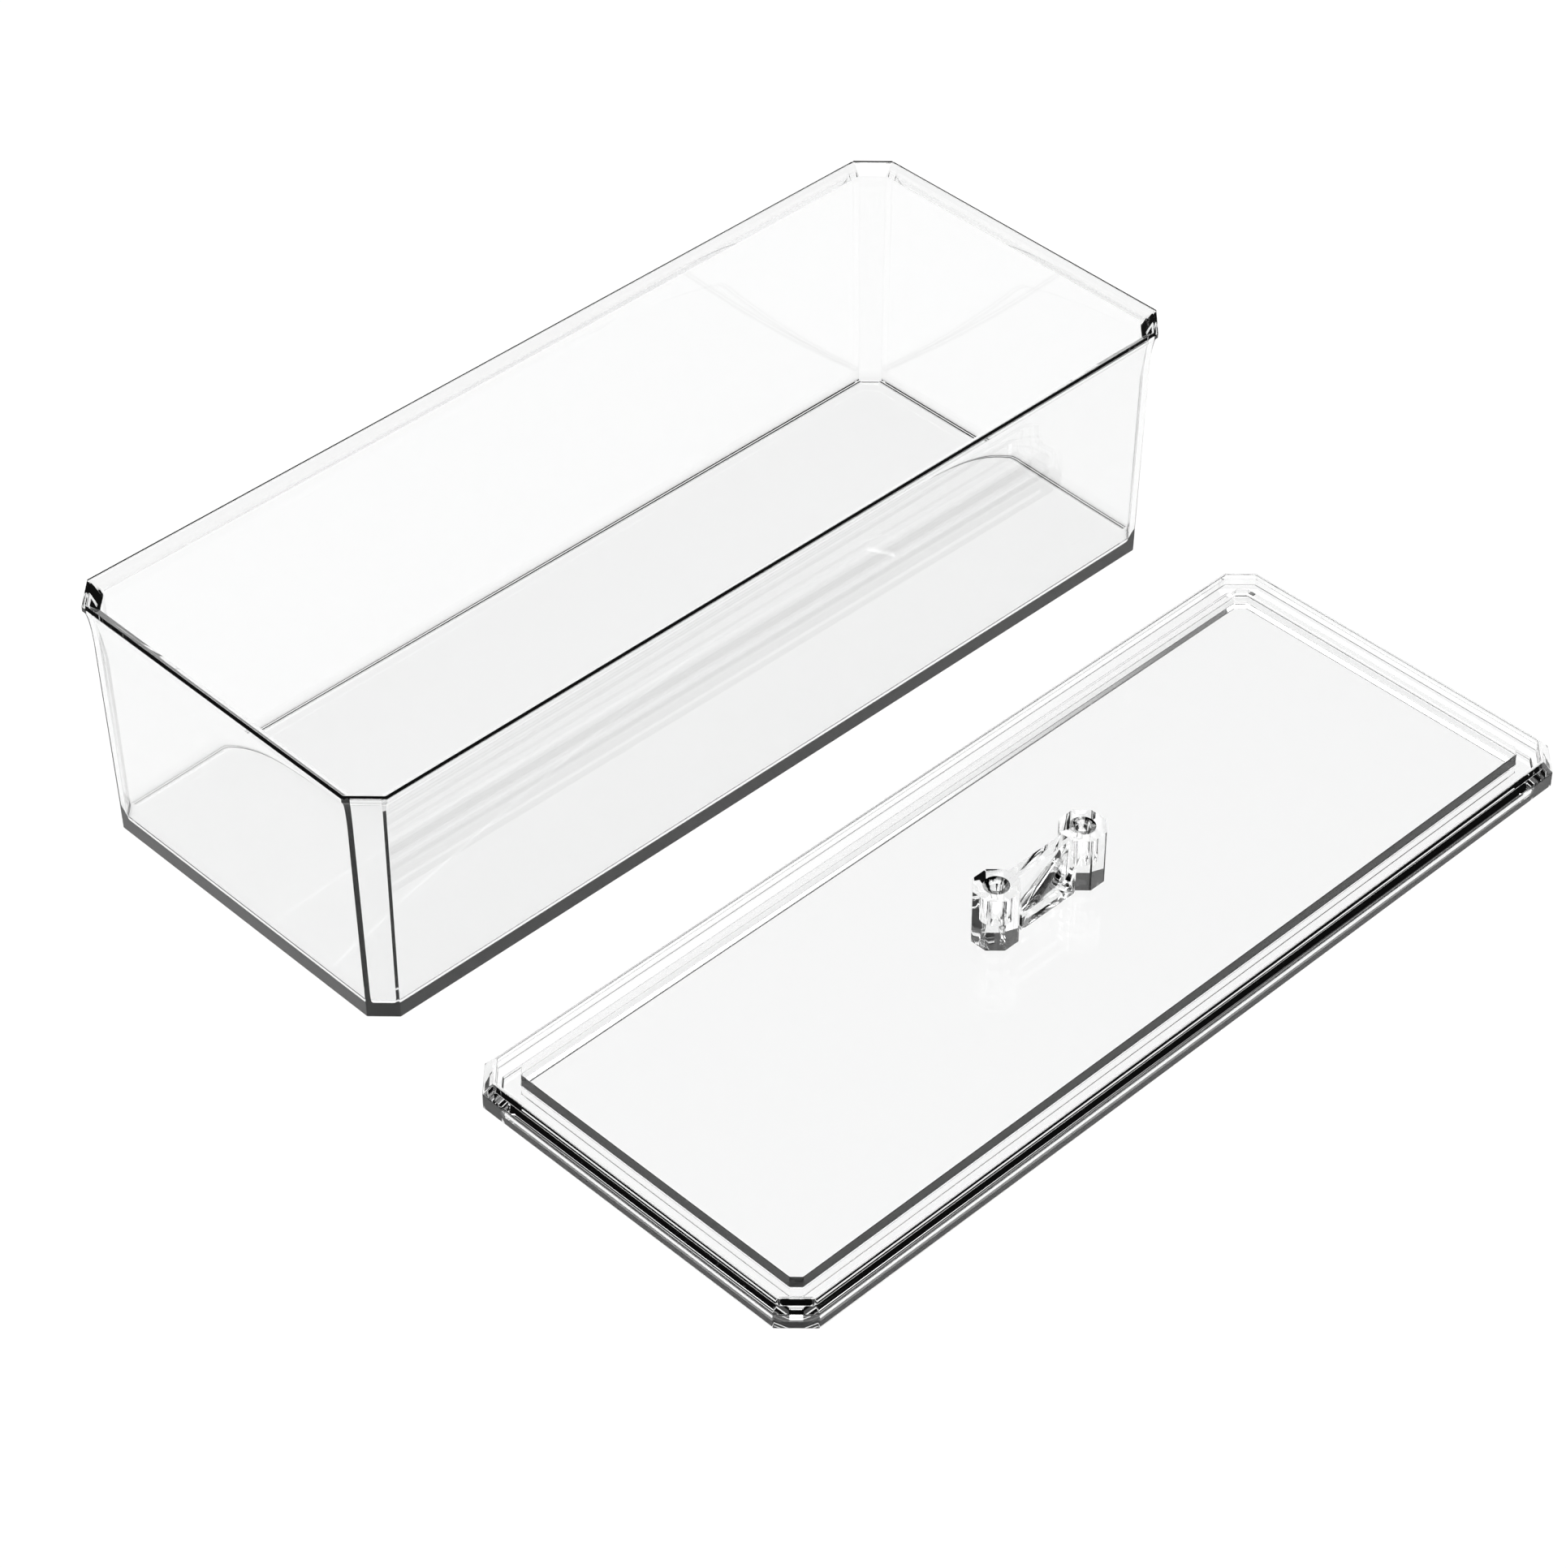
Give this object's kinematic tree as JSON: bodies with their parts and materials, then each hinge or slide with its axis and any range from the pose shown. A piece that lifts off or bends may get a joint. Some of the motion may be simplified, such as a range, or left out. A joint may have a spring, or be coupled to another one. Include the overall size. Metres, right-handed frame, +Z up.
{
  "type": "storage box",
  "caption": "Long clear storage box with cut corners and a flared rim, and its lift-off lid with a post handle lying beside it.",
  "frame": {"origin": "middle of the underside of the box, where it rests on the table", "axes": "+X along the length of the box, +Y across it away from the lid, +Z up"},
  "size_m": [0.2517, 0.228, 0.0656],
  "materials": {
    "clear_tray": "clear, polished",
    "clear_lid": "clear, polished",
    "clear_handle": "clear, polished"
  },
  "bodies": {
    "box": {"box_tray": "clear_tray"},
    "lid": {"lid_panel": "clear_lid", "lid_handle": "clear_handle"}
  },
  "joints": [
    {"name": "lid_lift", "type": "slide", "parent": "box", "child": "lid", "axis": [0, 0, 1], "range_m": [0, 0.12]}
  ]
}
